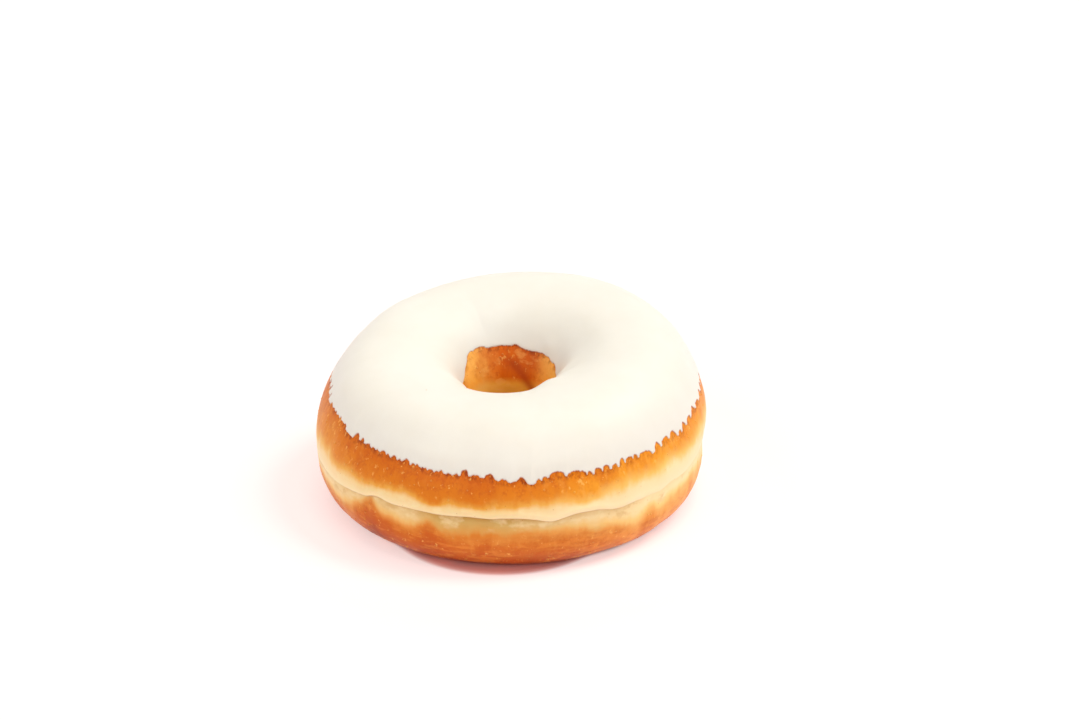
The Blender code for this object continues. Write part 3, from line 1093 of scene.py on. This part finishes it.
outer_notches = list(FRONT_NOTCHES)
for rear_span in REAR_SPANS:
    outer_notches += chance_notches(OUTER_RADIUS, *rear_span)
notched = notch_depth(icing_turns, outer_notches, OUTER_RADIUS)
outer_back_off = notched + wobble(icing_chance, icing_turns, OUTER_WOBBLE)
hole_notches = chance_notches(HOLE_RADIUS, *HOLE_SPAN)
hole_back_off = notch_depth(icing_turns, hole_notches, HOLE_RADIUS)
hole_back_off += wobble(icing_chance, icing_turns, HOLE_WOBBLE)
print("notches in the outer edge and in the hole:", len(outer_notches), len(hole_notches))

# %% Rows of the icing
EDGE_STEPS = np.array([0.0, 0.04, 0.1, 0.18, 0.3, 0.48, 0.75, 1.2])
CALM_DISTANCE = 4.6
BLEND_SHARES = np.array([0.35, 0.7, 1.0])
MIDDLE_ROWS = 18
outer_tilt = tilt_at_height(icing_turns, round_curve(ICING_EDGE, icing_turns) * MM, 1)
outer_reach = reach_at(icing_turns, outer_tilt[:, None])[:, 0]
hole_tilt = tilt_at_height(icing_turns, round_curve(HOLE_EDGE, icing_turns) * MM, -1)
hole_reach = reach_at(icing_turns, hole_tilt[:, None])[:, 0]


def rows_at_an_edge(tilt, reach, back_off, inwards):
    """Rows from a ragged edge to a calm line that no longer feels the notches."""
    steps = back_off[:, None] + EDGE_STEPS[None, :]
    blend = steps[:, -1:] + (CALM_DISTANCE - steps[:, -1:]) * BLEND_SHARES[None, :]
    along = np.concatenate([steps, blend], axis=1)
    return tilt[:, None] + inwards * along * MM / reach[:, None]


near_outer = rows_at_an_edge(outer_tilt, outer_reach, outer_back_off, 1.0)
near_hole = rows_at_an_edge(hole_tilt, hole_reach, hole_back_off, -1.0)[:, ::-1]
share = np.linspace(0.0, 1.0, MIDDLE_ROWS + 2)[1:-1]
middle = near_outer[:, -1:] + (near_hole[:, :1] - near_outer[:, -1:]) * share[None, :]
icing_tilts = np.concatenate([near_outer, middle, near_hole], axis=1)
icing_under = place(icing_turns, icing_tilts)
icing_normals = grid_normals(icing_under)
print("icing rows on top:", icing_tilts.shape[1])


# %% Thickness from the distance to the edge
def distance_to_edges(points):
    """Distance (mm) from each point to the nearest point of either icing edge."""
    tree = KDTree(2 * ICING_COLUMNS)
    for side, edge in enumerate((points[:, 0], points[:, -1])):
        for k, spot in enumerate(edge):
            tree.insert(spot, side * ICING_COLUMNS + k)
    tree.balance()
    distance = [tree.find(spot)[2] for spot in points.reshape(-1, 3)]
    return np.array(distance).reshape(points.shape[:2]) / MM


EDGE_THICKNESS = 0.26
CREST_THICKNESS = 1.05
THICKENING = 11.0
ROUNDING = 0.45
SINK = 0.14
edge_distance = distance_to_edges(icing_under)
rounded = np.clip(edge_distance / ROUNDING, 0.0, 1.0)
rounded = np.sqrt(1.0 - (1.0 - rounded) ** 2)
thickness = (EDGE_THICKNESS + SINK) * rounded - SINK
thickness += (CREST_THICKNESS - EDGE_THICKNESS) * smooth_step(0.0, THICKENING, edge_distance)
print("widest distance from an edge, mm:", round(float(edge_distance.max()), 1))

# %% [markdown]
# Poured icing isn't even. It banks up where it ran together, thins where it drained,
# and leans over the rim of the hole. Each swell is a soft hill at one place, and a
# hollow is a swell with a negative height. The first ones of the list stand round the
# hole and give its rim its shape. A shallow valley runs back from the hole, and it
# fades out before the rim, so that it never cuts through the thin edge.

# %% Swells and the valley
# (degrees round the ring, distance from its middle in mm, half width in degrees,
#  half width in mm, height in mm)
SWELLS = (
    (22.0, 22.0, 42.0, 2.2, 0.35), (16.0, 17.5, 28.0, 3.4, -0.35), (50.0, 13.0, 8.0, 1.6, 0.40),
    (-60.0, 17.5, 11.0, 3.0, 1.10), (-40.0, 15.3, 14.0, 3.2, 1.30), (-14.0, 12.2, 20.0, 2.6, 2.10),
    (-150.0, 13.8, 18.0, 3.0, 1.20), (-172.0, 12.2, 12.0, 2.2, 0.60),
    (-118.0, 40.3, 15.0, 1.7, 0.30), (-117.0, 42.8, 14.0, 1.4, -0.15),
    (-80.0, 41.6, 14.0, 1.6, 0.28), (-149.0, 42.0, 5.0, 1.6, 0.35), (-163.0, 37.0, 16.0, 4.0, 0.30),
    (140.0, 36.0, 14.0, 5.0, 0.30), (165.0, 24.0, 20.0, 5.0, 0.25), (60.0, 37.0, 18.0, 4.0, 0.30),
    (5.0, 36.0, 15.0, 5.0, -0.25), (-50.0, 30.0, 20.0, 6.0, 0.20), (100.0, 41.0, 12.0, 2.0, 0.35),
)
VALLEY_TURN, VALLEY_WIDTH, VALLEY_DEPTH = 113.0, 13.0, 0.45
VALLEY_END, VALLEY_FULL = 31.0, 21.0
VALLEY_CALM, SWELL_CALM = (0.5, 7.0), (0.3, 3.0)


def swelling(points, calm):
    """Height (mm) that the swells and the radial valley add to the icing."""
    around = np.degrees(np.arctan2(points[:, :, 1], points[:, :, 0]))
    radius = np.hypot(points[:, :, 0], points[:, :, 1]) / MM
    height = np.zeros(radius.shape)
    for degrees, distance, half_turn, half_width, rise in SWELLS:
        across = turned_from(around, degrees) / half_turn
        height += rise * np.exp(-across ** 2 - ((radius - distance) / half_width) ** 2)
    aside = turned_from(around, VALLEY_TURN)
    valley = np.exp(-(np.sqrt(aside**2 + 1.0) - 1.0) / VALLEY_WIDTH)
    return height - VALLEY_DEPTH * valley * smooth_step(VALLEY_END, VALLEY_FULL, radius) * calm


swell_height = swelling(icing_under, smooth_step(*VALLEY_CALM, edge_distance))
thickness += swell_height * smooth_step(*SWELL_CALM, edge_distance)
thickness = np.maximum(thickness, -SINK)
icing_top = icing_under + icing_normals * (thickness * MM)[:, :, None]
print("icing, thinnest and thickest, mm:", round(thickness.min(), 2), round(thickness.max(), 2))

# %% [markdown]
# The icing is closed underneath by a few plain rows that lie just inside the dough, so
# no gap shows at its edge. It carries numbers too: `film` is the distance to the edge,
# where the icing is thin enough for the crust to show through, and `rim` marks the
# notches.

# %% Close the shell underneath
UNDER_ROWS = 9
RIM_DEPTHS = (0.25, 0.6)
under_share = np.linspace(1.0, 0.0, UNDER_ROWS + 2)[1:-1]
under_tilts = near_outer[:, :1] + (near_hole[:, -1:] - near_outer[:, :1]) * under_share[None, :]
under_points = place(icing_turns, under_tilts)
under_points = under_points - grid_normals(under_points[:, ::-1])[:, ::-1] * SINK * MM
shell = np.concatenate([icing_top, under_points], axis=1)
film = np.concatenate([edge_distance, np.zeros(under_points.shape[:2])], axis=1)
bare_icing = smooth_step(*SWELL_CALM, film)
rim = np.repeat(smooth_step(*RIM_DEPTHS, notched)[:, None], shell.shape[1], axis=1)
icing_mesh = closed_grid_mesh("icing_fine", shell, {
    "film": film, "bare": bare_icing, "wrinkled": bare_icing, "rim": rim})
print("icing triangles:", 2 * shell.shape[0] * shell.shape[1])


# %% [markdown]
# Set icing is nearly white, a little creamy, and satin. Light goes into it and comes out beside
# where it went in, which softens its shading, so it needs some subsurface scattering. For the last
# third of a millimetre the film is so thin that the brown of the crust tints it, and in the notches
# that tint is deepened as painted shade under the icing's edge.

# %% Icing material
ICING_WHITES = [(0.3, (0.84, 0.785, 0.68, 1.0)), (0.7, (0.87, 0.82, 0.72, 1.0))]
THIN_FILM = [(0.0, (1, 1, 1, 1)), (0.12, (0.8, 0.8, 0.8, 1)), (0.30, (0, 0, 0, 1))]
# In the notches the crust's tint is strengthened as painted shade under the icing's edge.
TINT_IN_NOTCHES, TINT_ELSEWHERE = 0.65, 0.3
CRUST_TINT_AND_SHADE = (190, 88, 36)
SPECK_STRENGTH, SPECK_COLOR = 0.5, (216, 190, 150)
ICING_CONSTANTS = {"Specular IOR Level": 0.22, "Subsurface Weight": 0.4,
                   "Subsurface Radius": (1.0, 0.95, 0.85), "Subsurface Scale": 1.6 * MM}


def make_glaze():
    """Satin white icing with a warm tint at its thin edge, deepened in the notches as painted
    shade, and a few pale specks.
    """
    material, tree, shader = new_material("set_icing")
    soft = mottled(tree, 12.0, 2.5, 0.25)
    white = ramp(tree, soft, ICING_WHITES)
    tint = calc(tree, "ADD", calc(tree, "MULTIPLY", attribute(tree, "rim"), TINT_IN_NOTCHES),
                TINT_ELSEWHERE)
    thin = calc(tree, "MULTIPLY", ramp(tree, attribute(tree, "film"), THIN_FILM), tint)
    color = mix(tree, thin, white, linear(*CRUST_TINT_AND_SHADE))
    specks = use_group(tree, flecks_group, object_place(tree), Spacing=6 * MM,
                       Dot_Share=0.035, Rarity=0.8)
    specks = calc(tree, "MULTIPLY", specks, SPECK_STRENGTH)
    color = mix(tree, specks, color, linear(*SPECK_COLOR))
    tree.links.new(color, shader.inputs["Base Color"])
    skin_finish(tree, shader, (soft, 0.12, 0.36), soft, (0.25, 0.06 * MM), ICING_CONSTANTS)
    print("set_icing has", len(tree.nodes), "nodes")
    return material


# %% Dress the icing
glaze = make_glaze()
icing = run_tree("icing_fine", icing_mesh, relief_tree, {
    "Lump Size": 13 * MM, "Lump Height": 0.35 * MM, "Wrinkle Size": 4 * MM,
    "Wrinkle Height": 0.04 * MM, "Wrinkle Stretch": 1.0, "Seed": 8.0, "Material": glaze})
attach(icing, "root")
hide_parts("icing")

# %% [markdown]
# ## Light and floor
#
# The doughnut stands on a white sheet that glows, as a photographer's light table does, so its
# shadow stays pale. The glow is painted light, slightly pink, and it comes from no lamp. It is
# painted in rings: dim where the dough stands on the sheet, as painted shade, and strongest just
# beyond the foot, where it paints out the shade beside the dough. It is bright again in the hole,
# where it sends light up through it.

# %% The sheet
FLOOR_HALF = 4.0
SHEET_ROUGHNESS = 0.6
SHEET_GLOW = (1.0, 0.93, 0.925, 1.0)
floor_mesh = bpy.data.meshes.new("floor")
floor_mesh.from_pydata([(-FLOOR_HALF, -FLOOR_HALF, 0), (FLOOR_HALF, -FLOOR_HALF, 0),
                        (FLOOR_HALF, FLOOR_HALF, 0), (-FLOOR_HALF, FLOOR_HALF, 0)],
                       [], [(0, 1, 2, 3)])
floor = bpy.data.objects.new("floor", floor_mesh)
scene.collection.objects.link(floor)
floor_paint, sheet, card = new_material("sheet_with_painted_glow")
floor_mesh.materials.append(floor_paint)
card.inputs["Roughness"].default_value = SHEET_ROUGHNESS
card.inputs["Emission Color"].default_value = SHEET_GLOW
print("sheet, m:", 2 * FLOOR_HALF)

# %% Painted glow of the sheet
# (distance from the middle of the ring in mm, strength of the painted glow)
GLOW = ((0.0, 0.30), (9.0, 0.26), (11.5, 0.04), (38.2, 0.06), (39.4, 0.50), (44.0, 0.53),
        (52.0, 0.445), (64.0, 0.39), (100.0, 0.39))
WIDEST = GLOW[-1][0]
RING_CENTER = (0.0, 0.0, 0.0)


def distance_from(center):
    """Distance on the sheet from a point, as a share of the widest glow radius."""
    step = sheet.nodes.new("ShaderNodeVectorMath")
    step.operation = "DISTANCE"
    step.inputs[1].default_value = center
    sheet.links.new(object_place(sheet), step.inputs[0])
    return calc(sheet, "DIVIDE", step.outputs["Value"], WIDEST * MM)


def rings(center, stops):
    """Grey rings round a point, from (radius in mm, brightness) stops."""
    return ramp(sheet, distance_from(center), [
        (radius / WIDEST, (level, level, level, 1.0)) for radius, level in stops])


glow = rings(RING_CENTER, GLOW)
print("rings in the glow:", len(GLOW))

# %% [markdown]
# Under the front edge of the dough, light bounces between the brown crust and the sheet, and it
# comes back deep and warm. That shade is painted into the sheet: a disc of warm colour of its own,
# a little forward of the ring, with a sharp edge, and the painted glow is dimmed there as well. It
# only counts beyond the ring's foot, so the sheet that shows through the hole stays bright.

# %% The painted warm shade where it stands
CONTACT_CENTER = (-2.4 * MM, -17.2 * MM, 0.0)
CONTACT_RADIUS, CONTACT_FADE = 25.4, 1.1
CONTACT_RINGS = ((CONTACT_RADIUS - CONTACT_FADE, 0.93), (CONTACT_RADIUS, 0.75),
                 (CONTACT_RADIUS + CONTACT_FADE, 0.0))
CONTACT_FROM = 34.0
WARM_SHADOW = (0.95, 0.36, 0.29, 1.0)
WHITE_SHEET = (0.68, 0.56, 0.54, 1.0)
beyond_foot = calc(sheet, "GREATER_THAN", distance_from(RING_CENTER), CONTACT_FROM / WIDEST)
shaded = calc(sheet, "MULTIPLY", rings(CONTACT_CENTER, CONTACT_RINGS), beyond_foot)
sheet.links.new(calc(sheet, "MULTIPLY", glow, opposite(sheet, shaded)),
                card.inputs["Emission Strength"])
sheet.links.new(mix(sheet, shaded, WHITE_SHEET, WARM_SHADOW), card.inputs["Base Color"])
print("sheet material nodes:", len(sheet.nodes))

# %% [markdown]
# Three far lamps with wide discs give soft shadows. The key lamp stands high on the
# right and throws the pale shadow to the left, the top lamp evens out the icing, and a
# weak one from the front left opens up the darker side. White walls fill the rest.
# They light the ring dimly, but the lens sees them as plain white.

# %% Lamps
# (name, strength, width of its disc, colour, azimuth, elevation), with angles in
# degrees and azimuth 0 behind the ring, 90 on its right and 180 in front
LAMPS = (("key_lamp", 1.25, 20.0, (1.0, 0.99, 0.96), 82.0, 56.0),
         ("top_lamp", 0.55, 28.0, (1.0, 1.0, 1.0), 120.0, 80.0),
         ("left_fill", 0.35, 40.0, (1.0, 0.99, 0.98), -130.0, 35.0))


def soft_sun(name, strength, width, color, azimuth, elevation):
    """A far lamp with a wide disc, turned towards the ring."""
    lamp = bpy.data.lights.new(name, "SUN")
    lamp.energy = strength
    lamp.angle = math.radians(width)
    lamp.color = color
    holder = bpy.data.objects.new(name, lamp)
    scene.collection.objects.link(holder)
    a, e = math.radians(azimuth), math.radians(elevation)
    away = Vector((math.sin(a) * math.cos(e), math.cos(a) * math.cos(e), math.sin(e)))
    holder.location = WAIST + away
    holder.rotation_euler = (-away).to_track_quat("-Z", "Y").to_euler()


for lamp_values in LAMPS:
    soft_sun(*lamp_values)
print("lamps:", len(LAMPS))

# %% White walls
WALL_LIGHT = 0.68
world = bpy.data.worlds.new("white_room")
scene.world = world
world.use_nodes = True
walls = world.node_tree
sky = walls.nodes["Background"]
sky.inputs["Color"].default_value = (1.0, 1.0, 1.0, 1.0)
ray = walls.nodes.new("ShaderNodeLightPath").outputs["Is Camera Ray"]
seen = calc(walls, "ADD", calc(walls, "MULTIPLY", ray, 1.0 - WALL_LIGHT), WALL_LIGHT)
walls.links.new(seen, sky.inputs["Strength"])
scene.view_settings.view_transform = "Standard"
scene.view_settings.look = "None"
print("walls light the ring with", WALL_LIGHT, "and show as 1.0")
